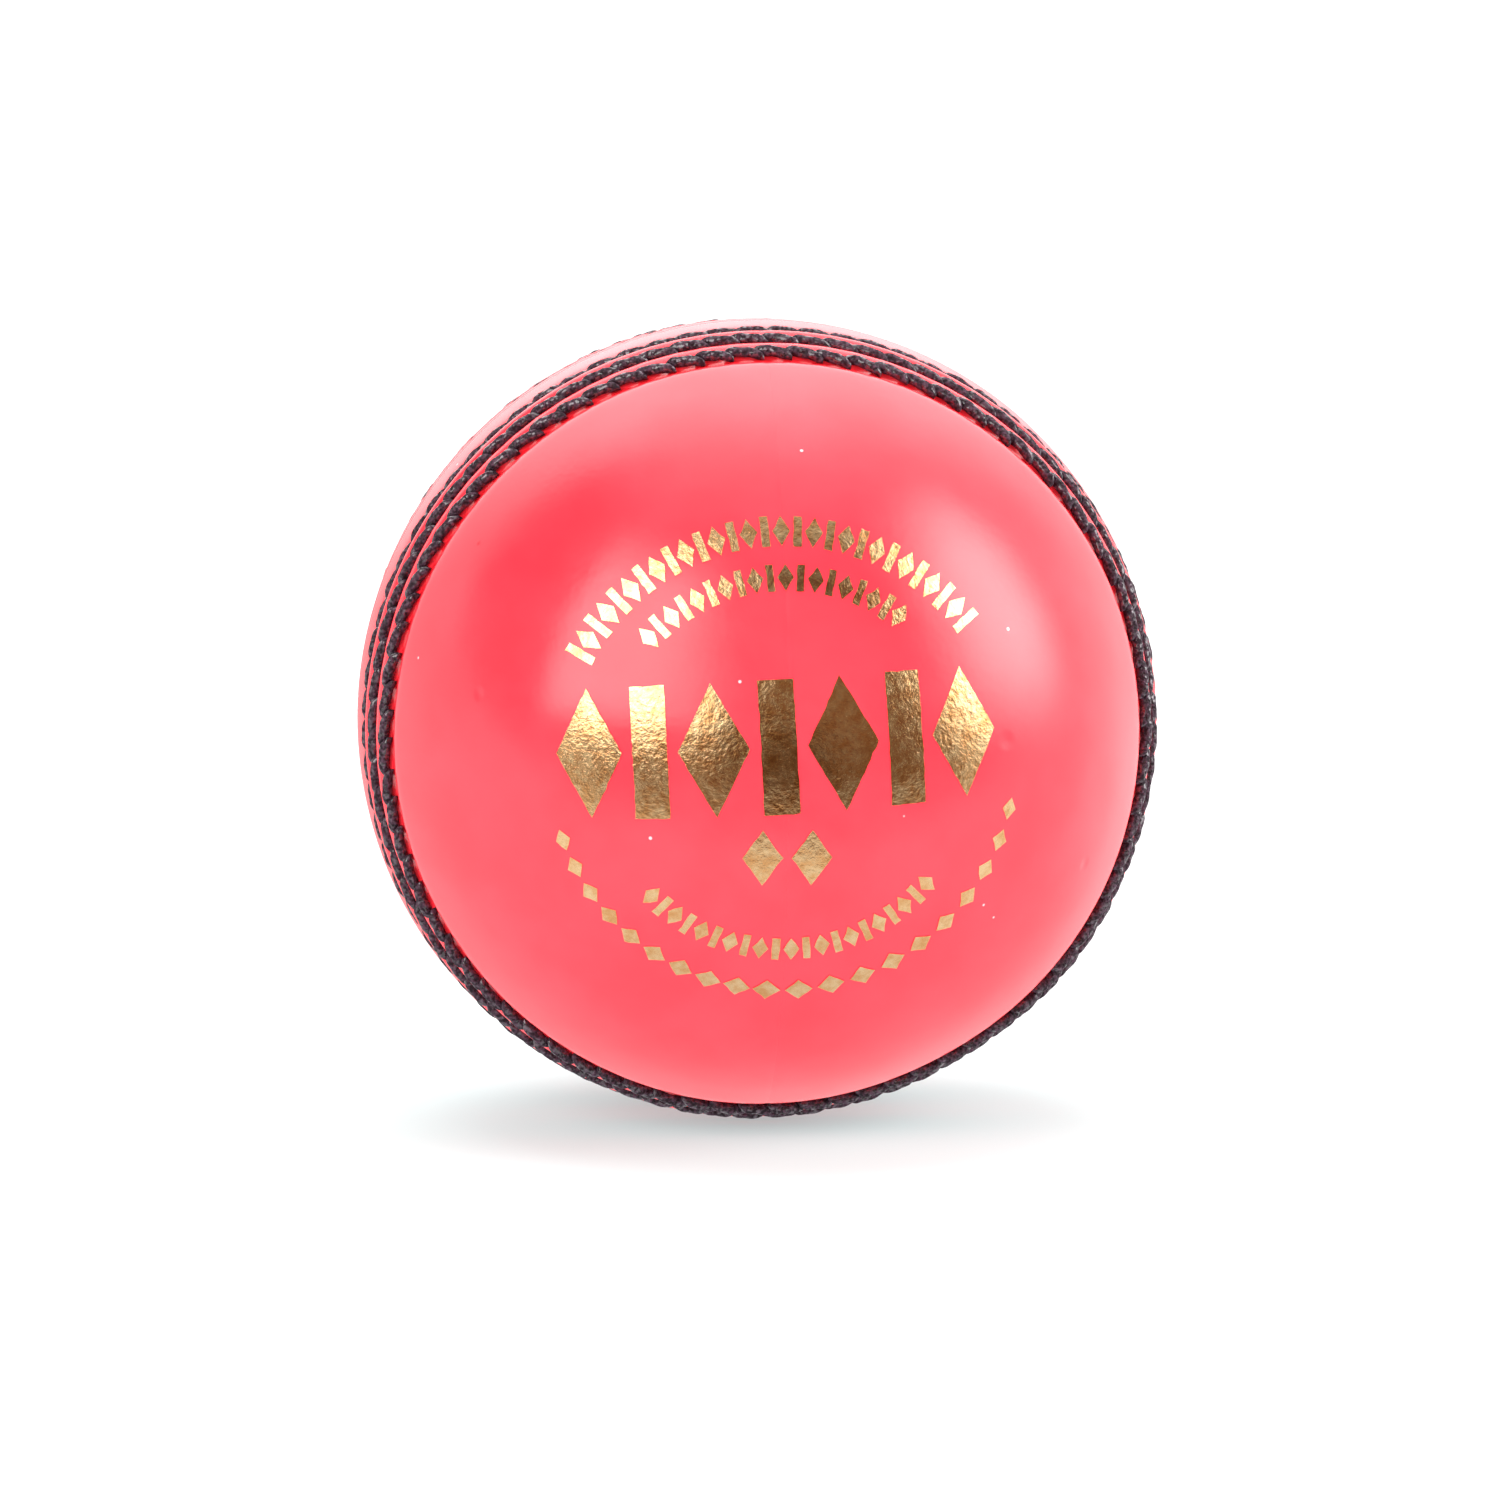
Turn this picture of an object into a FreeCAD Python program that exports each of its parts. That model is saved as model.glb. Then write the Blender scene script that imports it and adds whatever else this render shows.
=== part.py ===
import FreeCAD, Part
import math
import os

# A hand-stitched cricket ball. The origin is the ball's centre, +Z is up, and the seam
# lies in the XZ plane, so the seam's axis is Y and the stamped cup faces -Y. All in mm.

BALL_RADIUS = 36.0            # outside of the leather, away from the thread
LEATHER_THICKNESS = 3.5
CORE_RADIUS = BALL_RADIUS - LEATHER_THICKNESS
RIDGE_RADIUS = 36.3           # soft ridge where the two cups are drawn together
RIDGE_WIDTH = 5.6

# Core, from the middle outwards: outer radius of each layer.
NUCLEUS_RADIUS = 12.5
INNER_WINDING_RADIUS = 17.0
INNER_CORK_RADIUS = 19.0
MIDDLE_WINDING_RADIUS = 24.0
OUTER_CORK_RADIUS = 26.0
INNER_CORK_LEAVES = 6
OUTER_CORK_LEAVES = 8
LEAF_GAP = 0.5                # slit between two neighbouring cork leaves

# Strip of thin leather that lines the back of each quarter seam.
LINING_THICKNESS = 0.6
LINING_WIDTH = 12.0
LINING_END_GAP = 1.0          # from the strip's end to the ball's seam plane

# Hidden thread that joins two quarters into a cup, in a channel skived in the leather.
QUARTER_THREAD_DIAMETER = 0.5
CHANNEL_DEPTH = 0.6
CHANNEL_WIDTH = 4.0
CHANNEL_END_GAP = 2.0
QUARTER_STITCHES = 32
QUARTER_STITCH_REACH = 1.4    # from the quarter seam to each turn of the thread
CHANNEL_CLEARANCE = 0.02      # between the thread's turns and the channel's roof

# Six rows of stitches: three on each cup, at these arc distances from the seam plane.
ROW_NAMES = ("closing_thread", "middle_thread", "outer_thread")
ROW_DISTANCES = (4.5, 7.7, 11.0)
LEG_RADIAL_PLACES = (35.1, 34.5, 33.9)   # from the Y axis to the legs under each row
STITCHES_PER_ROW = 80
THREAD_DIAMETER = 1.1
ROW_PROUD = (0.3, 0.6, 0.6)   # how far each row stands above the leather
LEG_DIAMETER = 0.8            # the thread is pulled thin where it passes the leather

# Gold foil stamped on the front cup. Places are arc lengths from the front pole.
FOIL_THICKNESS = 0.08
BAND_HEIGHT = 12.0
BAND_LOZENGE_WIDTH = 6.4
BAND_BAR_WIDTH = 3.2
BAND_GAP = 0.95
BAND_CENTRE = (-0.8, 1.8)
BAND_SLOPE = 3.0              # degrees, rising to the right
PAIR_SIZE = (3.6, 5.2)
PAIR_SPACING = 4.4
PAIR_HEIGHT = -8.2
UPPER_OUTER_ARC = 21.5
UPPER_INNER_ARC = 17.0
LOWER_INNER_ARC = 17.3
LOWER_OUTER_ARC = 22.0

STITCH_STEP = 360.0 / STITCHES_PER_ROW
ORIGIN = FreeCAD.Vector(0, 0, 0)
SEAM_AXIS = FreeCAD.Vector(0, 1, 0)
FAR = 2 * BALL_RADIUS         # half of a box that holds the whole ball


def shell(inner_radius, outer_radius):
    """Hollow ball between two radii."""
    return Part.makeSphere(outer_radius).cut(Part.makeSphere(inner_radius))


def block(low, high):
    """Box between two opposite corners."""
    size = [b - a for a, b in zip(low, high)]
    return Part.makeBox(*size, FreeCAD.Vector(*low))


# ---- core ----

def cork_leaves(inner_radius, outer_radius, count, axis, first_angle):
    """Cork laid on the winding as curved leaves that meet at two poles."""
    layer = shell(inner_radius, outer_radius)
    slits = []
    for index in range(count):
        slit = block((-LEAF_GAP / 2, 0, -FAR), (LEAF_GAP / 2, FAR, FAR))
        slit.rotate(ORIGIN, FreeCAD.Vector(0, 0, 1), first_angle + 360.0 * index / count)
        slits.append(slit)
    leaves = layer.cut(Part.makeCompound(slits))
    leaves.rotate(ORIGIN, FreeCAD.Vector(*axis), 90)
    return leaves


def lining_strip(name):
    """Thin leather glued over the inside of a quarter seam."""
    layer = shell(CORE_RADIUS - LINING_THICKNESS, CORE_RADIUS)
    half = LINING_WIDTH / 2
    if name == "front":
        band = block((-half, -FAR, -FAR), (half, -LINING_END_GAP, FAR))
    else:
        band = block((-FAR, LINING_END_GAP, -half), (FAR, FAR, half))
    return layer.common(band)


def outer_winding():
    """Last layer of twine, pressed in where the lining strips lie on it."""
    winding = shell(OUTER_CORK_RADIUS, CORE_RADIUS)
    strips = [lining_strip("front"), lining_strip("back")]
    return winding.cut(Part.makeCompound(strips))


# ---- seam thread ----

def row_place(row):
    """Radius of a row's ring, and how far the ring's plane is from the seam plane."""
    radius = BALL_RADIUS + ROW_PROUD[row] - THREAD_DIAMETER / 2
    latitude = ROW_DISTANCES[row] / BALL_RADIUS
    return radius * math.cos(latitude), radius * math.sin(latitude)


def row_ring(row, side):
    """One row of stitches as a ring that lies half sunk in the leather."""
    ring_radius, reach = row_place(row)
    height = side * reach
    place = FreeCAD.Vector(0, height, 0)
    return Part.makeTorus(ring_radius, THREAD_DIAMETER / 2, place, SEAM_AXIS)


def leg_angles(row):
    """Angles of a row's stitches round the seam, staggered from row to row."""
    first = STITCH_STEP * (row + 1) / 4
    return [first + STITCH_STEP * index for index in range(STITCHES_PER_ROW)]


def leg(row, angle, side):
    """Thread that runs under the leather from a row to the seam plane, or on to its twin."""
    reach = row_place(row)[1]
    radial = LEG_RADIAL_PLACES[row]
    x = radial * math.cos(math.radians(angle))
    z = radial * math.sin(math.radians(angle))
    start = {-1: -reach, 1: 0.0, 0: -reach}[side]
    length = reach if side else 2 * reach
    return Part.makeCylinder(LEG_DIAMETER / 2, length, FreeCAD.Vector(x, start, z), SEAM_AXIS)


def seam_thread(row):
    """Two rows, one on each cup, and the legs that join them through the leather."""
    rings = [row_ring(row, side) for side in (-1, 1)]
    legs = [leg(row, angle, 0) for angle in leg_angles(row)]
    return rings[0].fuse([rings[1]] + legs)


# ---- leather ----

def inside_quarter(angle, low, high):
    """Whether a stitch's leg lies in a quarter that spans these angles."""
    return (angle - low) % 360 < high - low


def thread_room(side, low, high):
    """Grooves and awl holes that the three rows need in one quarter."""
    room = []
    for row in range(len(ROW_NAMES)):
        room.append(row_ring(row, side))
        for angle in leg_angles(row):
            if inside_quarter(angle, low, high):
                room.append(leg(row, angle, side))
    return Part.makeCompound(room)


def channel(name):
    """Skived channel for the hidden thread along a quarter seam."""
    layer = shell(CORE_RADIUS, CORE_RADIUS + CHANNEL_DEPTH)
    half = CHANNEL_WIDTH / 2
    if name == "front":
        band = block((-half, -FAR, -FAR), (half, -CHANNEL_END_GAP, FAR))
    else:
        band = block((-FAR, CHANNEL_END_GAP, -half), (FAR, FAR, half))
    return layer.common(band)


def cover():
    """Whole leather cover before it is cut into quarters."""
    half = RIDGE_WIDTH / 2
    ridge = Part.makeSphere(RIDGE_RADIUS).common(block((-FAR, -half, -FAR), (FAR, half, FAR)))
    return Part.makeSphere(BALL_RADIUS).fuse(ridge).cut(Part.makeSphere(CORE_RADIUS))


def quarter(name, side, low_corner, high_corner, low_angle, high_angle):
    """One of the four pieces of leather that make the cover."""
    piece = cover().common(block(low_corner, high_corner))
    piece = piece.cut(channel(name))
    return piece.cut(thread_room(side, low_angle, high_angle))


def quarter_stitching(name):
    """Zigzag thread that joins two quarters, hidden on the inside of the cup."""
    radius = CORE_RADIUS + CHANNEL_DEPTH - CHANNEL_CLEARANCE - QUARTER_THREAD_DIAMETER / 2
    margin = math.degrees((CHANNEL_END_GAP + QUARTER_THREAD_DIAMETER) / radius)
    step = (180 - 2 * margin) / QUARTER_STITCHES
    points = []
    for index in range(QUARTER_STITCHES + 1):
        angle = math.radians(margin + step * index)
        across = QUARTER_STITCH_REACH * (-1) ** index
        along = math.sqrt(radius ** 2 - across ** 2)
        points.append(FreeCAD.Vector(across, -along * math.sin(angle), along * math.cos(angle)))
    path = Part.makePolygon(points)
    section = Part.Wire(Part.makeCircle(QUARTER_THREAD_DIAMETER / 2, points[0], points[1] - points[0]))
    thread = path.makePipeShell([section], True, False, 2)
    if name == "back":
        thread.rotate(ORIGIN, FreeCAD.Vector(0, 0, 1), 180)
        thread.rotate(ORIGIN, SEAM_AXIS, 90)
    return thread


# ---- gold foil ----

def on_ball(u, v):
    """Point in front of the ball over the place u right and v up along the leather."""
    arc = math.hypot(u, v)
    shrink = math.sin(arc / BALL_RADIUS) * BALL_RADIUS / arc if arc else 1.0
    return FreeCAD.Vector(u * shrink, -BALL_RADIUS - 1, v * shrink)


def mark(outline, u, v, turn):
    """Prism through the ball from an outline drawn about its own centre."""
    c = math.cos(math.radians(turn))
    s = math.sin(math.radians(turn))
    corners = [on_ball(u + x * c - y * s, v + x * s + y * c) for x, y in outline]
    face = Part.Face(Part.makePolygon(corners + corners[:1]))
    return face.extrude(FreeCAD.Vector(0, BALL_RADIUS, 0))


def bar(width, height):
    return [(-width / 2, -height / 2), (width / 2, -height / 2),
            (width / 2, height / 2), (-width / 2, height / 2)]


def lozenge(width, height):
    return [(0, -height / 2), (width / 2, 0), (0, height / 2), (-width / 2, 0)]


def arc_marks(outlines, radius, first, last):
    """Outlines in turn along an arc about the front pole, between two angles."""
    marks = []
    for index, outline in enumerate(outlines):
        angle = first + (last - first) * index / (len(outlines) - 1)
        u = radius * math.cos(math.radians(angle))
        v = radius * math.sin(math.radians(angle))
        marks.append(mark(outline, u, v, angle - 90))
    return marks


def foil(marks):
    """Thin gold film in the shape of the marks, on top of the leather."""
    return shell(BALL_RADIUS, BALL_RADIUS + FOIL_THICKNESS).common(Part.makeCompound(marks))


def upper_arcs():
    outer = [lozenge(1.7, 3.0) if index % 2 else bar(0.8, 3.0) for index in range(29)]
    inner = [bar(0.7, 2.5) if index % 2 else lozenge(1.5, 2.5) for index in range(19)]
    return foil(arc_marks(outer, UPPER_OUTER_ARC, 152, 37)
                + arc_marks(inner, UPPER_INNER_ARC, 137, 52))


def centre_band():
    """Four tall lozenges with three upright bars between them, and two small ones below."""
    pitch = (BAND_LOZENGE_WIDTH + BAND_BAR_WIDTH) / 2 + BAND_GAP
    marks = []
    for index in range(7):
        offset = (index - 3) * pitch
        u = BAND_CENTRE[0] + offset * math.cos(math.radians(BAND_SLOPE))
        v = BAND_CENTRE[1] + offset * math.sin(math.radians(BAND_SLOPE))
        if index % 2:
            outline = bar(BAND_BAR_WIDTH, BAND_HEIGHT)
        else:
            outline = lozenge(BAND_LOZENGE_WIDTH, BAND_HEIGHT)
        marks.append(mark(outline, u, v, BAND_SLOPE))
    for side in (-1, 1):
        marks.append(mark(lozenge(*PAIR_SIZE), side * PAIR_SPACING / 2, PAIR_HEIGHT, 0))
    return foil(marks)


def lower_arcs():
    inner = [bar(0.7, 2.3) if index % 2 else lozenge(1.5, 2.3) for index in range(21)]
    outer = [lozenge(2.1 + 0.06 * index, 1.6 + 0.07 * index) for index in range(10)]
    return foil(arc_marks(inner, LOWER_INNER_ARC, 225, 319)
                + arc_marks(outer, LOWER_OUTER_ARC, 200, 266)
                + arc_marks(outer, LOWER_OUTER_ARC, 347, 274))


# ---- whole ball ----

def nodes():
    """Every node's name and shape, from the middle of the ball outwards."""
    yield "cork_nucleus", Part.makeSphere(NUCLEUS_RADIUS)
    yield "inner_twine_winding", shell(NUCLEUS_RADIUS, INNER_WINDING_RADIUS)
    yield "inner_cork_strips", cork_leaves(
        INNER_WINDING_RADIUS, INNER_CORK_RADIUS, INNER_CORK_LEAVES, (1, 0, 0), 10)
    yield "middle_twine_winding", shell(INNER_CORK_RADIUS, MIDDLE_WINDING_RADIUS)
    yield "outer_cork_strips", cork_leaves(
        MIDDLE_WINDING_RADIUS, OUTER_CORK_RADIUS, OUTER_CORK_LEAVES, (0, 1, 0), 25)
    yield "outer_twine_winding", outer_winding()
    for name in ("front", "back"):
        yield name + "_lining_strip", lining_strip(name)
        yield name + "_quarter_stitching", quarter_stitching(name)
    yield "front_left_quarter", quarter(
        "front", -1, (-FAR, -FAR, -FAR), (0, 0, FAR), 90, 270)
    yield "front_right_quarter", quarter(
        "front", -1, (0, -FAR, -FAR), (FAR, 0, FAR), -90, 90)
    yield "back_upper_quarter", quarter(
        "back", 1, (-FAR, 0, 0), (FAR, FAR, FAR), 0, 180)
    yield "back_lower_quarter", quarter(
        "back", 1, (-FAR, 0, -FAR), (FAR, FAR, 0), 180, 360)
    for row, name in enumerate(ROW_NAMES):
        yield name, seam_thread(row)
    yield "stamp_upper_arcs", upper_arcs()
    yield "stamp_centre_band", centre_band()
    yield "stamp_lower_arcs", lower_arcs()


os.makedirs("parts", exist_ok=True)
for node, shape in nodes():
    shape.exportStep("parts/" + node + ".step")
    print(node, "solids", len(shape.Solids), "valid", shape.isValid(), "volume", round(shape.Volume, 1))
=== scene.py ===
import math
import random
from collections import Counter

import bmesh
import bpy
import numpy as np
from mathutils import Matrix, Vector, noise


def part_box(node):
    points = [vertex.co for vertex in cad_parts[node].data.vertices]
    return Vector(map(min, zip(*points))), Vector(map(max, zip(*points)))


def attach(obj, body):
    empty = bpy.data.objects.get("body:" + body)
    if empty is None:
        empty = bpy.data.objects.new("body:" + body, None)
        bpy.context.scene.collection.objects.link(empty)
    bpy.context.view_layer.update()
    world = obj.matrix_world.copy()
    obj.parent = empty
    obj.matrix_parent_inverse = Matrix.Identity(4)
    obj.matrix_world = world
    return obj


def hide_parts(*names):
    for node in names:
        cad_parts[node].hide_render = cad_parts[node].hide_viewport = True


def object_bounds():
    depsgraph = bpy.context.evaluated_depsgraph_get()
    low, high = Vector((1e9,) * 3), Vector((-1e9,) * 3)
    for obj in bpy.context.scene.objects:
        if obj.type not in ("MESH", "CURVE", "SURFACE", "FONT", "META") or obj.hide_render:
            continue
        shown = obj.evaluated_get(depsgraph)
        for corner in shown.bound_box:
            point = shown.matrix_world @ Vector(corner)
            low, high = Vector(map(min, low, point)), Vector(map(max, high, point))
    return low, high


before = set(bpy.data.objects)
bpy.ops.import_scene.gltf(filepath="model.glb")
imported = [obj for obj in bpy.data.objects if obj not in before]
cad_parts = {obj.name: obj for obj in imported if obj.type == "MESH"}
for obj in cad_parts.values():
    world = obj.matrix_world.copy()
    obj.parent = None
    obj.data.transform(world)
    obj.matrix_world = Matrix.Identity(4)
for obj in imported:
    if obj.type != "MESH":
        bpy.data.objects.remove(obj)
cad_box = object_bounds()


# ---- Camera ----
# A long lens a metre away, turned a little to the left of the stamped cup's axis and
# raised a little, so that the top of the seam shows edge on and the ball fills the frame.

MM = 0.001
CAMERA_DISTANCE = 1.0
CAMERA_AZIMUTH = math.radians(-4.4)
CAMERA_ELEVATION = math.radians(7.3)
CAMERA_LENS = 263.8
CAMERA_AIM = Vector((-0.6 * MM, 0, -3.0 * MM))

toward_camera = Vector((
    math.sin(CAMERA_AZIMUTH) * math.cos(CAMERA_ELEVATION),
    -math.cos(CAMERA_AZIMUTH) * math.cos(CAMERA_ELEVATION),
    math.sin(CAMERA_ELEVATION)))
camera = bpy.data.objects.new("camera", bpy.data.cameras.new("camera"))
camera.data.lens = CAMERA_LENS
camera.data.sensor_width = 36
camera.data.clip_start = 0.01
camera.location = CAMERA_AIM + CAMERA_DISTANCE * toward_camera
camera.rotation_euler = toward_camera.to_track_quat("Z", "Y").to_euler()
bpy.context.scene.collection.objects.link(camera)
bpy.context.scene.camera = camera
bpy.context.scene.view_settings.view_transform = "Standard"


# ---- Cork nucleus ----
# The heart of the ball: a small ball of ground cork bound with rubber, pressed in a
# mould. Its skin is uneven, with darker grains of bark in it.

SRGB_LINEAR_PART = 10.3            # of 255, below which the sRGB curve is straight


def linear(red, green, blue):
    """Colour of the given 0 to 255 sRGB values as the shaders want it."""
    return tuple(
        c / 255 / 12.92 if c < SRGB_LINEAR_PART else ((c / 255 + 0.055) / 1.055) ** 2.4
        for c in (red, green, blue)) + (1.0,)


class Signal:
    """An output of a finish's nodes. Arithmetic on it adds Math nodes."""

    def __init__(self, finish, socket):
        self.finish = finish
        self.socket = socket

    def math(self, operation, first, second):
        """Math node in the finish that this is part of."""
        return self.finish.math(operation, first, second)

    def __add__(self, other):
        return self.math("ADD", self, other)

    def __sub__(self, other):
        return self.math("SUBTRACT", self, other)

    def __rsub__(self, other):
        return self.math("SUBTRACT", other, self)

    def __mul__(self, other):
        return self.math("MULTIPLY", self, other)

    def __pow__(self, other):
        return self.math("POWER", self, other)

    __radd__ = __add__
    __rmul__ = __mul__

    def step(self, low, high):
        """Smooth rise from 0 to 1 as this goes from low to high."""
        return self.finish.node(
            "ShaderNodeMapRange", {"interpolation_type": "SMOOTHSTEP"},
            {"Value": self, "From Min": low, "From Max": high})


class Finish:
    """The nodes of a material, or of the world, around its one shader."""

    def __init__(self, owner, shader="Principled BSDF", **values):
        self.material = owner
        owner.use_nodes = True
        self.tree = owner.node_tree
        self.shader = self.tree.nodes[shader]
        self.set(**values)

    def set(self, **shader):
        """Values or links of the shader's sockets, with _ for a space in a socket's name."""
        for name, value in shader.items():
            self.plug(self.shader.inputs[name.replace("_", " ")], value)

    def plug(self, socket, value):
        """Links a signal to the socket, or sets its value."""
        if isinstance(value, Signal):
            self.tree.links.new(value.socket, socket)
        else:
            socket.default_value = value

    def node(self, kind, settings=None, sockets=None, output=0):
        """Any node: its settings first, then its sockets' values or links."""
        made = self.tree.nodes.new(kind)
        for name, value in (settings or {}).items():
            setattr(made, name, value)
        for name, value in (sockets or {}).items():
            self.plug(made.inputs[name], value)
        return Signal(self, made.outputs[output])

    def math(self, operation, first, second=0.0):
        """Math node on signals or numbers."""
        return self.node("ShaderNodeMath", {"operation": operation}, {0: first, 1: second})

    def parts(self, vector):
        """The vector's x, y and z."""
        split = self.node("ShaderNodeSeparateXYZ", sockets={"Vector": vector})
        return [Signal(self, part) for part in split.socket.node.outputs]

    def place(self, scale=(1, 1, 1)):
        """Place on the piece, in metres, stretched by scale."""
        here = self.node("ShaderNodeTexCoord", output="Object")
        return self.node("ShaderNodeMapping", sockets={"Vector": here, "Scale": scale})

    def grain(self, size, detail=2.0, roughness=0.5, place=None):
        """Noise whose blobs are about size across."""
        return self.node("ShaderNodeTexNoise", sockets={
            "Vector": place or self.place(), "Scale": 1 / size, "Detail": detail,
            "Roughness": roughness})

    def cells(self, size, feature="F1"):
        """Distance, in sizes, from the middles of scattered cells of about that size."""
        return self.node("ShaderNodeTexVoronoi", {"feature": feature}, {
            "Vector": self.place(), "Scale": 1 / size})

    def distance(self, place, centre):
        """Distance in metres from the place to a fixed centre."""
        return self.node("ShaderNodeVectorMath", {"operation": "DISTANCE"},
                         {0: place, 1: centre}, output=1)

    def blend(self, share, first, second):
        """Colour that goes from first to second as share goes from 0 to 1."""
        mixed = self.node("ShaderNodeMix", {"data_type": "RGBA", "clamp_factor": False},
                          output=2)
        sockets = mixed.socket.node.inputs
        for index, value in ((0, share), (6, first), (7, second)):
            self.plug(sockets[index], value)
        return mixed

    def bump(self, height, depth):
        """Normal from a height that goes from 0 to 1 over depth metres."""
        return self.node("ShaderNodeBump", sockets={
            "Height": height, "Distance": depth, "Strength": 1.0})


def new_finish(name, **values):
    """Material of that name, with those values of its shader's sockets."""
    return Finish(bpy.data.materials.new(name), **values)


def cork_finish(name, grain_size):
    """Pale tan cork with dark flecks of bark and small open pores."""
    cork = new_finish(name, Roughness=0.85, Specular_IOR_Level=0.2)
    mottle = cork.grain(2 * grain_size, detail=4)
    flecks = cork.cells(grain_size).step(0.16, 0.3)
    pores = cork.grain(grain_size / 3, detail=3).step(0.3, 0.45)
    tan = cork.blend(mottle.step(0.35, 0.65), linear(176, 126, 78), linear(214, 172, 120))
    cork.set(Base_Color=cork.blend(flecks, linear(92, 55, 30), tan),
             Normal=cork.bump(pores * 0.6 + flecks * 0.4, 0.15 * MM))
    return cork.material


def add_piece(name, data, material, slot, *nodes):
    """Puts a finished piece on the ball in place of its CAD nodes."""
    piece = bpy.data.objects.new(name, data)
    bpy.context.scene.collection.objects.link(piece)
    data.materials.append(material)
    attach(piece, "root")
    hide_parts(*nodes)
    return piece


def mesh_of(name, points, faces):
    """Smooth-shaded mesh whose faces all point outwards."""
    mesh = bpy.data.meshes.new(name)
    mesh.from_pydata([tuple(p) for p in points], [], faces)
    shape = bmesh.new()
    shape.from_mesh(mesh)
    bmesh.ops.recalc_face_normals(shape, faces=shape.faces)
    shape.to_mesh(mesh)
    shape.free()
    mesh.shade_smooth()
    return mesh


def subdivide(piece, levels):
    """Subdivision Surface with the same levels on screen and in the render."""
    made = piece.modifiers.new("smooth", "SUBSURF")
    made.levels = levels
    made.render_levels = levels
    made.boundary_smooth = "PRESERVE_CORNERS"


def roughen(piece, size, depth):
    """Displace with soft lumps of that size and depth."""
    lumps = bpy.data.textures.new(piece.name + "_lumps", "CLOUDS")
    lumps.noise_scale = size
    made = piece.modifiers.new("lumps", "DISPLACE")
    made.texture = lumps
    made.texture_coords = "LOCAL"
    made.strength = depth
    made.mid_level = 0.5


def cube_cage(name, half):
    """Cube's eight corners, for a stack to round off."""
    ends = (-half, half)
    corners = [(x, y, z) for x in ends for y in ends for z in ends]
    faces = [(0, 1, 3, 2), (4, 6, 7, 5), (0, 4, 5, 1), (2, 3, 7, 6), (0, 2, 6, 4), (1, 5, 7, 3)]
    return mesh_of(name, corners, faces)


NUCLEUS_GRAIN = 1.6 * MM
NUCLEUS_LUMPS = 2.5 * MM
NUCLEUS_UNEVENNESS = 0.35 * MM     # from the lowest to the highest of its skin
NUCLEUS_INSET = 0.2 * MM           # keeps the highest of it under the winding
NUCLEUS_CAGE = 0.7                 # half the cube's side, in radii
nucleus_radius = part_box("cork_nucleus")[1].z

nucleus = add_piece("nucleus", cube_cage("nucleus", nucleus_radius * NUCLEUS_CAGE),
                    cork_finish("ground_cork", NUCLEUS_GRAIN), "cork", "cork_nucleus")
subdivide(nucleus, 5)
rounding = nucleus.modifiers.new("round", "CAST")
rounding.factor = 1.0
rounding.radius = 0
rounding.use_radius_as_size = False
rounding.size = nucleus_radius - NUCLEUS_INSET
roughen(nucleus, NUCLEUS_LUMPS, NUCLEUS_UNEVENNESS)


# ---- Windings of worsted twine ----
# Between the layers of cork the core is wound with damp woollen yarn under tension, which
# shrinks as it dries. Each winding is one yarn that grows outwards turn by turn.

YARN = 1.6 * MM
YARN_PACKING = 0.62                # share of a winding's volume that is yarn
POINTS_PER_TURN = 13
WINDING_TILT = 0.9                 # radians, of a turn's plane
WINDING_TILT_SWING = 0.85          # how far the tilt goes either way of that
WINDING_TILT_RATE = 0.173          # swings of the tilt for each turn of yarn
WINDING_YAW_RATE = 0.381           # turns of the plane for each turn of yarn

twine = new_finish("worsted_twine", Roughness=0.9, Specular_IOR_Level=0.15, Sheen_Weight=0.3)
fuzz = twine.grain(0.35 * MM, detail=3)
tone = twine.grain(5 * MM)
twine.set(
    Base_Color=twine.blend(fuzz * 0.5 + tone * 0.5,
                           linear(172, 150, 118), linear(232, 216, 186)),
    Normal=twine.bump(fuzz, 0.12 * MM))


def thread_curve(name, points, diameter, resolution, sides):
    """Round thread along a smooth curve through a list of points."""
    curve = bpy.data.curves.new(name, "CURVE")
    curve.dimensions = "3D"
    curve.resolution_u = resolution
    curve.bevel_depth = diameter / 2
    curve.bevel_resolution = sides
    curve.use_fill_caps = True
    line = curve.splines.new("NURBS")
    line.points.add(len(points) - 1)
    for spot, point in zip(line.points, points):
        spot.co = (*point, 1)
    line.order_u = 3
    line.use_endpoint_u = True
    return curve


def winding_route(inner, outer):
    """Near great circles whose plane keeps turning, from the inner radius out."""
    volume = 4 / 3 * math.pi * (outer ** 3 - inner ** 3)
    length = YARN_PACKING * volume / (math.pi * (YARN / 2) ** 2)
    turns = int(length / (math.pi * (inner + outer)))
    steps = turns * POINTS_PER_TURN
    route = []
    for step in range(steps + 1):
        share = step / steps
        angle = 2 * math.pi * step / POINTS_PER_TURN
        radius = inner + YARN / 2 + (outer - inner - YARN) * share
        swing = WINDING_TILT_SWING * math.sin(WINDING_TILT_RATE * angle)
        tilt = Matrix.Rotation(WINDING_TILT + swing, 3, "X")
        yaw = Matrix.Rotation(WINDING_YAW_RATE * angle, 3, "Z")
        flat = Vector((radius * math.cos(angle), radius * math.sin(angle), 0))
        route.append(yaw @ tilt @ flat)
    return route


for node, core_node in (("inner_twine_winding", "cork_nucleus"),
                        ("middle_twine_winding", "inner_cork_strips"),
                        ("outer_twine_winding", "outer_cork_strips")):
    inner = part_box(core_node)[1].z
    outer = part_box(node)[1].z
    yarn = thread_curve(node.replace("_winding", ""), winding_route(inner, outer), YARN, 3, 1)
    add_piece(yarn.name, yarn, twine.material, "twine", node)


# ---- Cork strips ----
# Thin leaves of sliced cork laid over the wound core, pole to pole, and bound down by the
# next winding. Their edges are soft and almost meet.

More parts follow.
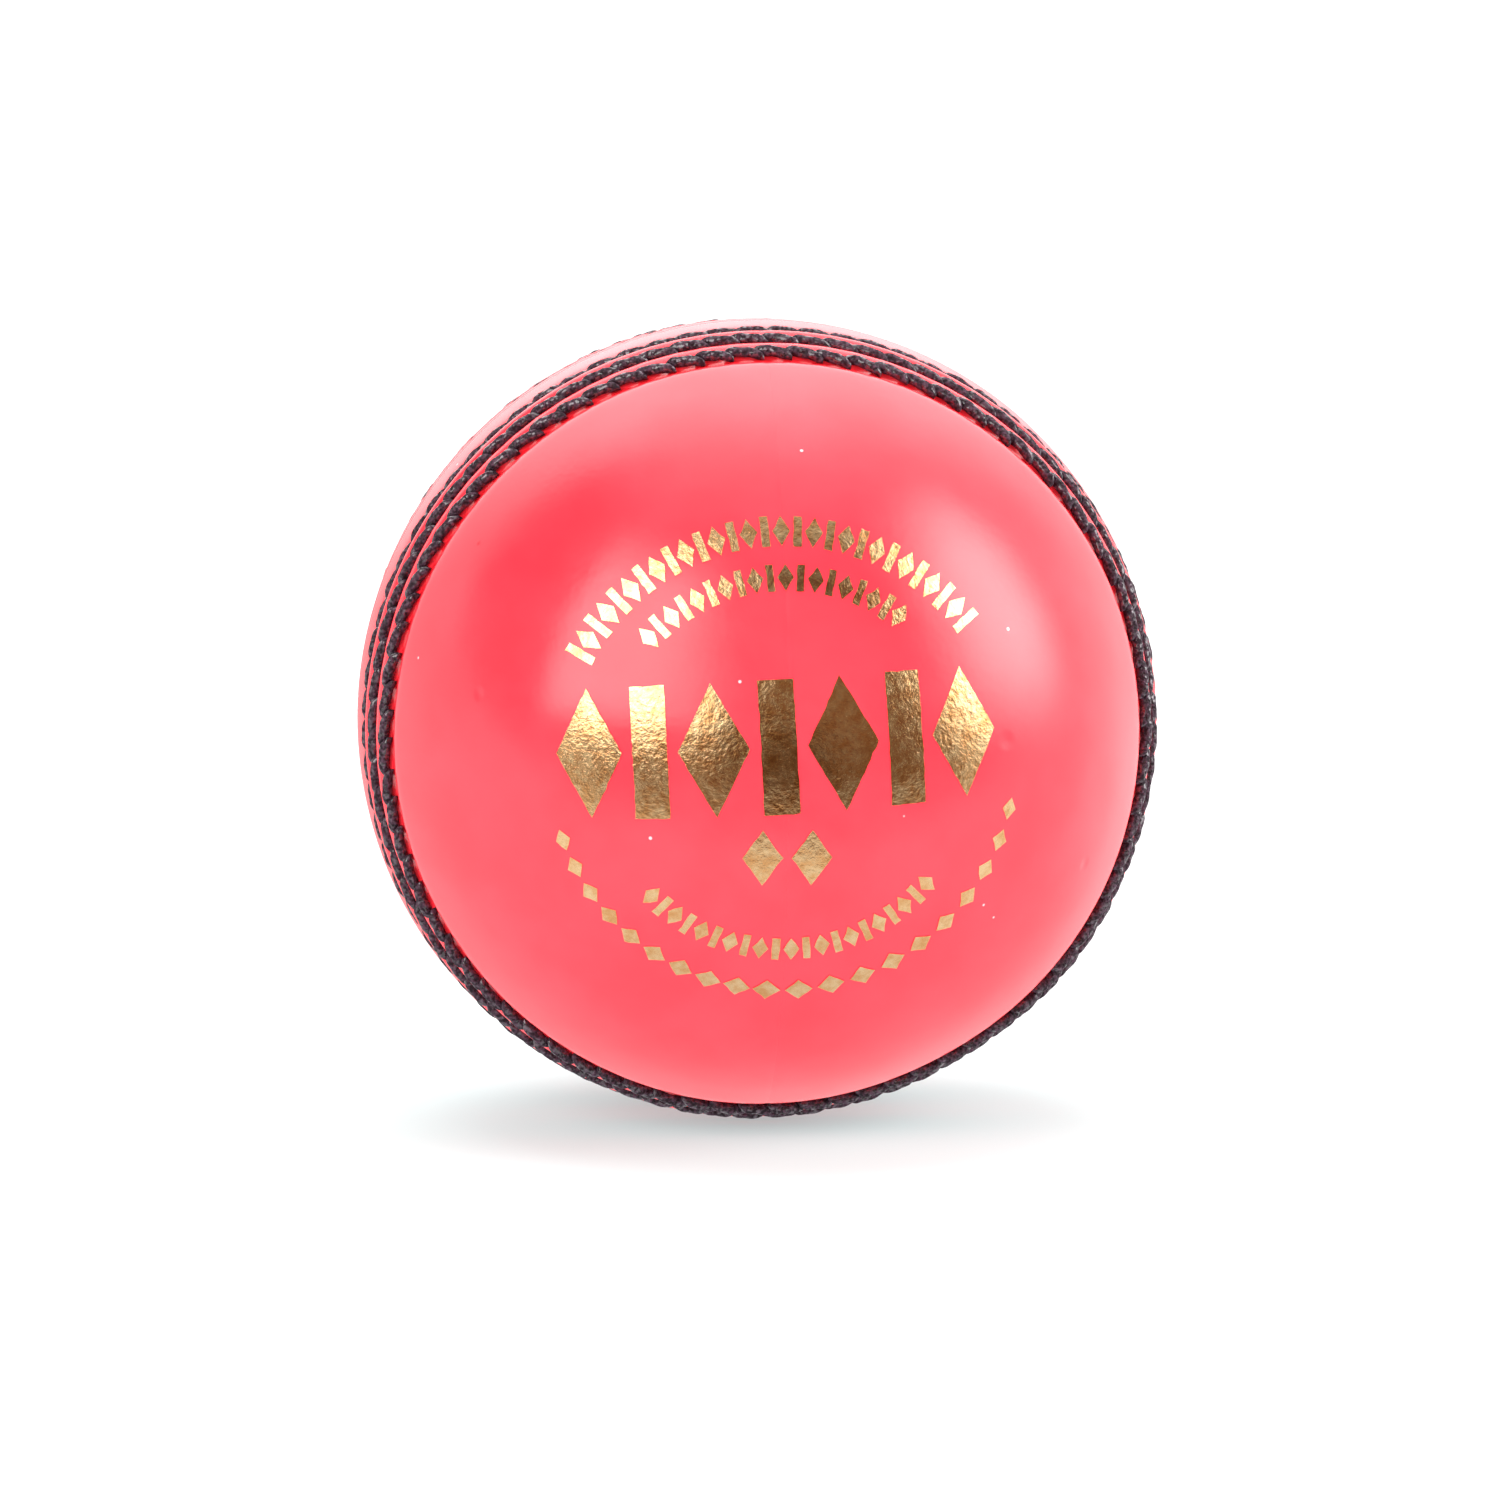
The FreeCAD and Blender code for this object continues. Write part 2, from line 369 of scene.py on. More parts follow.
LEAF_TIP = 1.53                    # radians from the middle of a leaf to its tips
LEAF_ROWS = 25
LEAF_COLUMNS = 7
LEAF_TIP_GAP = 0.15 * MM           # half the slit between two leaves, at their tips
LEAF_MIDDLE_GAP = 0.35 * MM        # what half the slit grows by towards their middle
LEAF_EDGE = 0.3 * MM
LEAF_GRAIN = 2.2 * MM


def grid_faces(rows, columns, first=0):
    """Quads of a grid of points that is stored row by row."""
    return [(first + r * columns + c, first + r * columns + c + 1,
             first + (r + 1) * columns + c + 1, first + (r + 1) * columns + c)
            for r in range(rows - 1) for c in range(columns - 1)]


def thicken(piece, thickness, edge):
    """Solidify inwards by thickness, then round the edges."""
    wall = piece.modifiers.new("wall", "SOLIDIFY")
    wall.thickness = thickness
    wall.offset = -1
    wall.use_even_offset = False
    corner = piece.modifiers.new("edge", "BEVEL")
    corner.width = edge
    corner.segments = 2
    corner.limit_method = "ANGLE"


def cork_strips(node, inner_node, count, axis, first_angle):
    """Layer of that many leaves, whose tips meet on the given axis of the ball."""
    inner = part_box(inner_node)[1].z
    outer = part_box(node)[1].z
    points = []
    faces = []
    for index in range(count):
        middle = math.pi / 2 + math.radians(first_angle) + 2 * math.pi * (index + 0.5) / count
        turn = Matrix.Rotation(math.radians(90), 3, axis) @ Matrix.Rotation(middle, 3, "Z")
        half = math.pi / count - LEAF_MIDDLE_GAP / outer
        faces += grid_faces(LEAF_ROWS, LEAF_COLUMNS, len(points))
        for b in np.linspace(-LEAF_TIP, LEAF_TIP, LEAF_ROWS):
            edge = half - LEAF_TIP_GAP / (outer * math.cos(b))
            points += [turn @ Vector((outer * math.cos(b) * math.cos(a),
                                      outer * math.cos(b) * math.sin(a), outer * math.sin(b)))
                       for a in np.linspace(-edge, edge, LEAF_COLUMNS)]
    piece = add_piece(node.replace("_strips", ""), mesh_of(node, points, faces),
                      cork_finish(node, LEAF_GRAIN), "cork", node)
    subdivide(piece, 1)
    thicken(piece, outer - inner, LEAF_EDGE)


cork_strips("inner_cork_strips", "inner_twine_winding", 6, "X", 10)
cork_strips("outer_cork_strips", "middle_twine_winding", 8, "Y", 25)


# ---- Lining strips ----
# A strip of thin undyed leather is glued inside each cup over its quarter seam, so that
# the sewn edges don't press into the core.

lining = new_finish("undyed_leather", Roughness=0.75, Specular_IOR_Level=0.3)
nap = lining.grain(0.25 * MM, detail=4)
lining.set(
    Base_Color=lining.blend(lining.grain(4 * MM), linear(186, 150, 108), linear(212, 180, 138)),
    Normal=lining.bump(nap, 0.1 * MM))

LINING_THICKNESS = 0.6 * MM
LINING_WIDTH = 12 * MM
LINING_END = 1 * MM                # from the seam plane to an end of the strip
LINING_WAVER = 0.3 * MM            # of a hand-cut edge
LINING_WAVES = 9                   # to a full turn
LINING_EDGE = 0.15 * MM
LINING_ROWS = 41
LINING_COLUMNS = 9
core_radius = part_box("outer_twine_winding")[1].z


def lining_strip(side):
    """Strip along the quarter seam: upright in front, level at the back."""
    radius = core_radius
    end = math.pi / 2 - LINING_END / radius
    across = np.linspace(-LINING_WIDTH / 2, LINING_WIDTH / 2, LINING_COLUMNS) / radius
    turn = Matrix.Rotation(math.radians(-90), 3, "Z")
    if side == "back":
        turn = Matrix.Rotation(math.radians(90), 3, "Y") @ Matrix.Rotation(
            math.radians(90), 3, "Z")
    points = []
    for b in np.linspace(-end, end, LINING_ROWS):
        sideways = across + LINING_WAVER / radius * math.sin(LINING_WAVES * b)
        points += [turn @ Vector((radius * math.cos(a) * math.cos(b), radius * math.sin(a),
                                  radius * math.cos(a) * math.sin(b))) for a in sideways]
    node = side + "_lining_strip"
    mesh = mesh_of(node, points, grid_faces(LINING_ROWS, LINING_COLUMNS))
    piece = add_piece(side + "_lining", mesh, lining.material, "lining_leather", node)
    thicken(piece, LINING_THICKNESS, LINING_EDGE)


lining_strip("front")
lining_strip("back")


# ---- Quarter stitching ----
# Each cup is two quarters of leather sewn edge to edge from the inside with waxed linen.
# The thread zigzags across the joint and never comes through to the outside.

linen = new_finish("waxed_linen", Roughness=0.6, Specular_IOR_Level=0.35)
linen.set(
    Base_Color=linen.blend(linen.grain(0.5 * MM), linear(196, 182, 150), linear(232, 222, 196)),
    Normal=linen.bump(linen.grain(0.12 * MM), 0.04 * MM))

LINEN_THREAD = 0.5 * MM
SEWING_STITCHES = 32
SEWING_REACH = 1.4 * MM            # from the joint to the zigzag's points
SEWING_END = 2.5 * MM              # from the seam plane to the first stitch
SEWING_HEIGHT = 0.33 * MM          # of its middle over the core
sewing_radius = core_radius + SEWING_HEIGHT


def inner_sewing(side, turn):
    """Zigzag from the top of the front cup to its bottom, turned into place."""
    margin = SEWING_END / sewing_radius
    route = []
    for index in range(SEWING_STITCHES + 1):
        angle = margin + (math.pi - 2 * margin) * index / SEWING_STITCHES
        route.append(turn @ Vector((SEWING_REACH * (-1) ** index,
                                    -sewing_radius * math.sin(angle),
                                    sewing_radius * math.cos(angle))))
    sewing = thread_curve(side + "_inner_sewing", route, LINEN_THREAD, 4, 2)
    add_piece(sewing.name, sewing, linen.material, "hidden_thread", side + "_quarter_stitching")


inner_sewing("front", Matrix.Identity(3))
inner_sewing("back", Matrix.Rotation(math.radians(90), 3, "Y")
             @ Matrix.Rotation(math.radians(180), 3, "Z"))


# ---- Leather quarters ----
# Four quarters of alum-tanned hide, dyed coral pink, moulded round the core, greased and
# lacquered. The joint between two quarters of a cup is a fine line; where the cups meet,
# the six rows of stitches pull the leather into beds with soft ridges between them.

ball_radius = -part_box("front_left_quarter")[0].y
ROW_DISTANCES = (4.5 * MM, 7.7 * MM, 11.0 * MM)
STITCHES = 80
PITCH = 2 * math.pi / STITCHES
ROW_PHASES = (0.25, 0.5, 0.75)     # share of a pitch, so that the rows are staggered


def on_cup(u, v, height):
    """Point over the place u right and v up from the front pole, along the leather."""
    arc = math.hypot(u, v)
    latitude = arc / ball_radius
    flat = math.sin(latitude) / arc if arc else 1 / ball_radius
    radius = ball_radius + height
    return Vector((radius * flat * u, -radius * math.cos(latitude), radius * flat * v))


leather = new_finish("lacquered_leather", Specular_IOR_Level=0.42, Coat_Roughness=0.1)
mottle = leather.grain(9 * MM, detail=3)
creases = leather.grain(2.2 * MM, detail=5, roughness=0.6)
pores = leather.cells(0.55 * MM, feature="SMOOTH_F1")
specks = 1 - leather.cells(6 * MM).step(0.022, 0.034)

# painted shade: a deeper, more saturated pink in the dip outside the outer row, standing in for
# the shade there and the red light bounced between the leather and the thread
from_seam = leather.math("ABSOLUTE", leather.parts(leather.place())[1])
painted_valley_shade = from_seam.step(10.6 * MM, 11.6 * MM) * (1 - from_seam.step(12.0 * MM, 13.2 * MM))
hide = leather.blend(mottle.step(0.3, 0.7), linear(250, 43, 56), linear(252, 49, 62))
# the painted shade of the dip, laid over the hide's own pink
hide = leather.blend(0.7 * painted_valley_shade, hide, linear(250, 16, 28))


def near(u, v, size):
    """1 at the place u right and v up on the front cup, down to 0 at size from it (mm)."""
    away = leather.distance(leather.place(), on_cup(u * MM, v * MM, 0))
    return 1 - away.step(0, size * MM)


# the few marks of this ball's own: dark dots, dents and wrinkled patches
dots = near(-20.2, 2.2, 0.35) + near(-32, 22, 0.4)
dents = near(21.0, 1.6, 1.1) + near(33, -13, 0.9) + near(-30, 6, 0.8)
wrinkles = leather.grain(0.7 * MM, detail=3) * (near(-22, 29, 6) + near(2, 36, 5))
hide = leather.blend(specks, hide, linear(255, 175, 178))
leather.set(
    Base_Color=leather.blend(dots, hide, linear(150, 20, 35)),
    Roughness=0.16 + 0.14 * creases,
    Coat_Weight=0.2 + 0.3 * mottle,
    Normal=leather.bump(creases * 0.7 + pores * 0.3 - 2 * dents + 0.8 * wrinkles, 0.03 * MM))


ROW_BED = (0.38, 0.8)              # depth and width of the groove under a row, in mm
ROW_PULL = 0.3                     # share by which the thread pulls it deeper at each hole
QUARTER_SEAM = (0.05, 0.3)         # depth and width of the line between two quarters, in mm
QUARTER_SEAM_START = 3.0 * MM      # from the seam plane
SWELLS = (                         # height, distance from the seam plane and width, in mm
    (0.32, 0, 3.3),                # the round ridge where the cups meet
    (-0.15, 0, 0.25),              # the joint of the cups
    (0.47, 6.15, 0.7),             # between the closing and the middle row
    (0.24, 9.35, 0.8),             # between the middle and the outer row
    (-0.46, 11.9, 0.95),           # the dip outside the outer row
    (0.08, 13.6, 1.2))             # the shoulder of the cup
SAG_ANGLE = -65                    # degrees round the seam, where the ball is a little flat
SAG_SPREAD = 20
SAG_DEPTH = 0.42                   # mm, at the seam
SAG_WIDTH = 18 * MM
HIDE_UNEVENNESS = 0.05 * MM
HIDE_LUMPS = 3.1                   # to the ball's radius


def hill(distance, centre, width):
    """Smooth hump, 1 at its centre."""
    return math.exp(-((distance - centre) / width) ** 2)


def sag(distance, turn):
    """How far the leather stands lower there, in mm, because the ball is pressed flat."""
    away = (math.degrees(turn) - SAG_ANGLE + 180) % 360 - 180
    return SAG_DEPTH * math.exp(-(away / SAG_SPREAD) ** 2) * hill(distance, 0, SAG_WIDTH)


def leather_height(distance, turn, across):
    """Height of the leather over the plain ball: distance from the seam plane along the
    leather, turn round the seam's axis, and across from the quarter seam."""
    height = sum(swell * hill(distance, centre * MM, width * MM)
                 for swell, centre, width in SWELLS)
    depth, width = ROW_BED
    for centre, phase in zip(ROW_DISTANCES, ROW_PHASES):
        pull = 1 + ROW_PULL * math.cos(STITCHES * turn - 2 * math.pi * phase)
        height -= depth * pull * hill(distance, centre, width * MM)
    depth, width = QUARTER_SEAM
    height -= depth * hill(across, 0, width * MM) * (
        1 - hill(distance, 0, QUARTER_SEAM_START))
    return (height - sag(distance, turn)) * MM


# Rows of a quarter's cage, in mm from the seam plane: close over the seam, wide on the cup
SEAM_CAGE_ROWS = [0, 0.25, 0.6] + [0.5 * step for step in range(2, 29)]
CUP_CAGE_ROWS = [14.0 + 42.0 * (step / 20) ** 0.9 for step in range(1, 21)]
CAGE_COLUMNS = 160                 # over one quarter's half turn
CAGE_EDGE = 0.3 * MM               # extra column beside a straight edge, to keep it crisp
cage_distances = [row * MM for row in SEAM_CAGE_ROWS + CUP_CAGE_ROWS]
cage_ends = [0.0, CAGE_EDGE / ball_radius]
cage_turns = (cage_ends + [math.pi * column / CAGE_COLUMNS for column in range(1, CAGE_COLUMNS)]
              + [math.pi - end for end in reversed(cage_ends)])


def quarter_point(side, distance, first_angle, t, outside):
    """Point of a quarter's outer or inner face, t round from its first straight edge."""
    latitude = distance / ball_radius
    turn = math.radians(first_angle) + t
    spot = Vector((math.cos(latitude) * math.cos(turn), side * math.sin(latitude),
                   math.cos(latitude) * math.sin(turn)))
    if not outside:
        return core_radius * spot
    across = ball_radius * math.cos(latitude) * math.sin(t)
    radius = ball_radius + leather_height(distance, turn, across)
    return (radius + HIDE_UNEVENNESS * noise.noise(spot * HIDE_LUMPS)) * spot


def keep_sharp(mesh, pairs):
    """Creases the edges between those pairs of points."""
    crease = mesh.attributes.new("crease_edge", "FLOAT", "EDGE")
    sharp = {frozenset(pair) for pair in pairs}
    for edge in mesh.edges:
        if frozenset(edge.vertices) in sharp:
            crease.data[edge.index].value = 1.0
            edge.use_edge_sharp = True


def quarter(name, side, first_angle):
    """Closed cage of one quarter, from the seam plane to the pole over half a turn."""
    points = []
    for outside in (True, False):
        points += [quarter_point(side, distance, first_angle, t, outside)
                   for distance in cage_distances for t in cage_turns]
        points.append(quarter_point(side, math.pi / 2 * ball_radius, first_angle, 0.0, outside))
    columns = len(cage_turns)
    rows = len(cage_distances)
    pole = rows * columns
    layer = pole + 1
    faces = grid_faces(rows, columns) + grid_faces(rows, columns, layer)
    for start in (0, layer):
        last = start + pole - columns
        faces += [(last + c, last + c + 1, start + pole) for c in range(columns - 1)]
    rim = [row * columns for row in range(rows)] + [pole]
    rim += [row * columns + columns - 1 for row in reversed(range(rows))]
    rim += list(range(columns - 2, 0, -1))
    creased = [(corner, corner + layer) for corner in (0, columns - 1, pole)]
    for a, b in zip(rim, rim[1:] + rim[:1]):
        faces.append((a, b, b + layer, a + layer))
        creased += [(a, b), (a + layer, b + layer)]
    mesh = mesh_of(name, points, faces)
    keep_sharp(mesh, creased)
    piece = add_piece(name.replace("_quarter", "_leather"), mesh, leather.material,
                      "cover_leather", name)
    subdivide(piece, 1)


quarter("front_left_quarter", -1, 90)
quarter("front_right_quarter", -1, -90)
quarter("back_upper_quarter", 1, 0)
quarter("back_lower_quarter", 1, 180)


# ---- Seam threads ----
# Three waxed black threads, each of three plies, close the ball with a row on either cup.
# Every stitch comes out of one awl hole, slants outwards and forwards over the leather,
# and goes in beside the start of the next, so that a row looks like a rope.

STITCH_REACH = 0.68                # half a stitch's length, in pitches
STITCH_SLANTS = (0.5 * MM, 0.45 * MM, 0.6 * MM)    # from a row's middle to a stitch's end
STITCH_TOPS_FRONT = (0.42 * MM, 0.6 * MM, 0.6 * MM)    # over the plain ball, at its middle
STITCH_TOPS_BACK = (0.26 * MM, 0.6 * MM, 0.6 * MM)
STITCH_DIVES = (0.5 * MM, 0.34 * MM, 0.38 * MM)    # how much lower its ends are
STITCH_THICKNESS = 1.04 * MM
STITCH_BLUNT = 0.3                 # how far its ends narrow, before a square root
STITCH_RINGS = 11
STITCH_SIDES = 12
PLIES = 3
PLY_DEPTH = 0.2                    # how far a ply stands out, in half thicknesses
PLY_TWIST = 2.4 * math.pi          # over half a stitch
draws = random.Random(11)

thread = new_finish("waxed_thread", Specular_IOR_Level=0.2, Roughness=0.55, Coat_IOR=1.9,
                    Coat_Roughness=0.2)
fibre = thread.grain(0.3 * MM, detail=2)
wax = thread.grain(0.4 * MM, detail=1).step(0.5, 0.6)
thread.set(
    Base_Color=thread.blend(fibre.step(0.35, 0.75), linear(26, 13, 20), linear(76, 52, 66)),
    Coat_Weight=0.85 * wax,
    Normal=thread.bump(fibre, 0.22 * MM))


def on_leather(side, distance, turn, height):
    """Point over either cup, at a distance from the seam plane and a turn round it."""
    latitude = distance / ball_radius
    radius = ball_radius + height - sag(distance, turn) * MM
    return Vector((radius * math.cos(latitude) * math.cos(turn),
                   side * radius * math.sin(latitude),
                   radius * math.cos(latitude) * math.sin(turn)))


def stitch(row, side, turn, points, faces):
    """One slanted length of twisted thread, blunt at both ends where it dives into holes."""
    half_length = STITCH_REACH * PITCH * draws.uniform(0.96, 1.04)
    slant = STITCH_SLANTS[row] * draws.uniform(0.85, 1.15)
    offset = draws.uniform(-0.08, 0.08) * MM
    lift = draws.uniform(-0.06, 0.05) * MM
    thickness = STITCH_THICKNESS * draws.uniform(0.95, 1.05)
    twist = draws.uniform(0, 2 * math.pi)
    top = (STITCH_TOPS_FRONT if side < 0 else STITCH_TOPS_BACK)[row]
    start = len(points)
    for ring in range(STITCH_RINGS):
        share = math.sin(math.pi * (ring / (STITCH_RINGS - 1) - 0.5))
        height = top - thickness / 2 + lift - STITCH_DIVES[row] * share ** 4
        width = thickness / 2 * max(STITCH_BLUNT, 1 - share ** 6) ** 0.5
        distance = ROW_DISTANCES[row] + offset - slant * share
        middle_turn = turn - side * half_length * share
        for corner in range(STITCH_SIDES):
            angle = 2 * math.pi * corner / STITCH_SIDES
            ply = PLY_DEPTH * math.cos(PLIES * (angle + twist) + PLY_TWIST * share)
            lobe = width * (1 + ply + draws.uniform(-0.1, 0.1))
            points.append(on_leather(side, distance + lobe * math.cos(angle), middle_turn,
                                     height + lobe * math.sin(angle)))
    for ring in range(STITCH_RINGS - 1):
        for corner in range(STITCH_SIDES):
            a = start + ring * STITCH_SIDES + corner
            b = start + ring * STITCH_SIDES + (corner + 1) % STITCH_SIDES
            faces.append((a, b, b + STITCH_SIDES, a + STITCH_SIDES))
    faces.append(tuple(range(start, start + STITCH_SIDES)))
    end = start + (STITCH_RINGS - 1) * STITCH_SIDES
    faces.append(tuple(range(end, end + STITCH_SIDES)))


for row, node in enumerate(("closing_thread", "middle_thread", "outer_thread")):
    points = []
    faces = []
    for side in (-1, 1):
        for index in range(STITCHES):
            turn = PITCH * (index + ROW_PHASES[row] + draws.uniform(-0.04, 0.04))
            stitch(row, side, turn, points, faces)
    rows = add_piece(node.replace("_thread", "_stitches"), mesh_of(node, points, faces),
                     thread.material, "seam_thread", node)
    subdivide(rows, 1)


# ---- Gold foil stamp ----
# Gold foil pressed on the front cup with a hot die before the last coat of lacquer. It is
# a plain ornament of bars and lozenges: two arcs above, a tall band across the middle
# with a small pair under it, and two arcs below.

FOIL_THICKNESS = 0.02 * MM
FOIL_HEIGHT = 0.02 * MM            # of its middle over the leather
FOIL_CELL = 0.6 * MM               # between the points of a mark's mesh
FRAY_SIZE = 0.7 * MM
FRAY_DEPTH = 0.09 * MM
FRAY_SHIFT = Vector((9, 4, 7))     # between the noise for sideways and that for up

gold = new_finish("stamped_gold", Metallic=1.0)
crinkle = gold.grain(0.45 * MM, detail=6, roughness=0.6)
waves = gold.grain(2.5 * MM)
rubbed = gold.grain(1.3 * MM, detail=5, roughness=0.7)
gold.set(
    Base_Color=gold.blend(rubbed.step(0.3, 0.7), linear(238, 176, 112), linear(255, 218, 164)),
    Roughness=0.1 + 0.17 * rubbed,
    Normal=gold.bump(crinkle * 0.5 + waves * 0.5, 0.11 * MM))


def bar(width, height):
    """Corners of an upright bar, in mm."""
    return [(-width / 2, -height / 2), (width / 2, -height / 2),
            (width / 2, height / 2), (-width / 2, height / 2)]


def lozenge(width, height):
    """Corners of an upright lozenge, in mm."""
    return [(0, -height / 2), (width / 2, 0), (0, height / 2), (-width / 2, 0)]


def mark(points, faces, outline, u, v, turn):
    """Film of foil with four corners, at u right and v up (mm), ragged like a stamped edge."""
    corners = [Vector(corner) * MM for corner in outline]
    columns, rows = [max(2, round((corners[end] - corners[0]).length / FOIL_CELL))
                     for end in (1, 3)]
    faces.extend(grid_faces(rows + 1, columns + 1, len(points)))
    spin = Matrix.Rotation(turn, 2)
    for row in range(rows + 1):
        for column in range(columns + 1):
            s = column / columns
            t = row / rows
            spot = (corners[0] * (1 - s) + corners[1] * s) * (1 - t)
            spot += (corners[3] * (1 - s) + corners[2] * s) * t
            spot = spin @ spot + Vector((u, v)) * MM
            fray = Vector((spot.x, spot.y, 0)) / FRAY_SIZE
            spot += Vector((noise.noise(fray), noise.noise(fray + FRAY_SHIFT))) * FRAY_DEPTH
            points.append(on_cup(spot.x, spot.y, FOIL_HEIGHT))


def arc_marks(points, faces, outlines, radius, first, last):
    """Outlines in turn along an arc about the front pole (mm), between two angles."""
    for index, outline in enumerate(outlines):
        angle = math.radians(first + (last - first) * index / (len(outlines) - 1))
        mark(points, faces, outline, radius * math.cos(angle), radius * math.sin(angle),
             angle - math.pi / 2)


def in_turn(first, second, count):
    """That many outlines, of two kinds by turns."""
    return [(first, second)[index % 2] for index in range(count)]


def foil_piece(name, node, points, faces):
    """Thin film with crisp edges in place of one node of the stamp."""
    mesh = mesh_of(name, points, faces)
    uses = Counter(key for face in mesh.polygons for key in face.edge_keys)
    for edge in mesh.edges:
        edge.use_edge_sharp = uses[edge.key] == 1
    wall = add_piece(name, mesh, gold.material, "foil", node).modifiers.new("film", "SOLIDIFY")
    wall.thickness = FOIL_THICKNESS
    wall.offset = 0


points, faces = [], []
arc_marks(points, faces, in_turn(bar(0.8, 3.0), lozenge(1.7, 3.0), 29),
          radius=21.5, first=152, last=37)
arc_marks(points, faces, in_turn(lozenge(1.5, 2.5), bar(0.7, 2.5), 19),
          radius=17.0, first=137, last=52)
foil_piece("foil_upper_arcs", "stamp_upper_arcs", points, faces)

BAND_SLOPE = math.radians(3)
BAND_MIDDLE = (-0.8, 1.8)          # mm right and up from the front pole
BAND_SPACING = 5.75                # mm
BAND_MARKS = 7
PAIR_PLACE = (2.2, -8.2)           # mm, of the right one of the small pair
points, faces = [], []
for index, outline in enumerate(in_turn(lozenge(6.4, 12.0), bar(3.2, 12.0), BAND_MARKS)):
    offset = (index - BAND_MARKS // 2) * BAND_SPACING
    mark(points, faces, outline, BAND_MIDDLE[0] + offset * math.cos(BAND_SLOPE),
         BAND_MIDDLE[1] + offset * math.sin(BAND_SLOPE), BAND_SLOPE)
for side in (-1, 1):
    mark(points, faces, lozenge(3.6, 5.2), PAIR_PLACE[0] * side, PAIR_PLACE[1], 0)
foil_piece("foil_centre_band", "stamp_centre_band", points, faces)

LEAF_ARC = 22.0                    # mm from the front pole
points, faces = [], []
arc_marks(points, faces, in_turn(lozenge(1.5, 2.3), bar(0.7, 2.3), 21),
          radius=17.3, first=225, last=319)
leaves = [lozenge(2.1 + 0.06 * index, 1.6 + 0.07 * index) for index in range(10)]
arc_marks(points, faces, leaves, radius=LEAF_ARC, first=200, last=266)
arc_marks(points, faces, leaves, radius=LEAF_ARC, first=347, last=274)
foil_piece("foil_lower_arcs", "stamp_lower_arcs", points, faces)


# ---- Floor and light ----
# A white table that glows, faintly to the camera and more in the light it throws on the ball,
# and a white room that is dark only on the camera's side.
# Soft boxes light the ball from the front left, the right, overhead and, broad and weak,
# the front. What the lacquer reflects of them and of the room is in the world.

FLOOR_REACH = 3.0
SHADOW_FALL = 38                   # per metre, how fast the painted bluish tint under the ball fades
SHADOW_SHARE = 0.85
SHADOW_CENTRE = (-1 * MM, 0, 0)
WHITE = (1, 1, 1, 1)

floor_height = cad_box[0][2]
floor_corners = [(x * FLOOR_REACH, y * FLOOR_REACH, floor_height)
                 for x, y in ((-1, -1), (1, -1), (1, 1), (-1, 1))]
floor_mesh = mesh_of("floor", floor_corners, [(0, 1, 2, 3)])
floor = bpy.data.objects.new("floor", floor_mesh)
bpy.context.scene.collection.objects.link(floor)
paper = new_finish("white_table", Roughness=0.9, Specular_IOR_Level=0.0)
# painted tint: near the ball the red is taken out of the table's colour, so that the pink light
# the ball throws on the table doesn't tint its shadow
from_ball = paper.distance(paper.place((1, 1, 0)), SHADOW_CENTRE)
painted_tint_under_ball = SHADOW_SHARE * paper.math("POWER", math.e, from_ball * -SHADOW_FALL)
looked_at = paper.node("ShaderNodeLightPath", output="Is Camera Ray")
# painted light: the table glows, faintly as the camera sees it, which keeps its shadow pale,
# and brighter and a little blue in the light it throws on the ball
paper.set(Base_Color=paper.blend(painted_tint_under_ball, (0.4, 0.4, 0.4, 1), (0.0, 0.41, 0.405, 1)),
          Emission_Color=paper.blend(looked_at, (1.1, 1.1, 1.2, 1), (0.42, 0.42, 0.42, 1)),
          Emission_Strength=1.0)
floor_mesh.materials.append(paper.material)
floor.visible_glossy = False


BOX_DISTANCE = 1.2


def soft_box(name, azimuth, elevation, width, brightness):
    """Square of light that faces the ball and that the ball doesn't reflect."""
    lamp = bpy.data.lights.new(name, "AREA")
    lamp.shape = "RECTANGLE"
    lamp.size = width
    lamp.size_y = width
    lamp.energy = brightness * math.pi * width * width
    a = math.radians(azimuth)
    e = math.radians(elevation)
    out = Vector((math.sin(a) * math.cos(e), -math.cos(a) * math.cos(e), math.sin(e)))
    box = bpy.data.objects.new(name, lamp)
    box.location = BOX_DISTANCE * out
    box.rotation_euler = out.to_track_quat("Z", "Y").to_euler()
    box.visible_glossy = False
    bpy.context.scene.collection.objects.link(box)


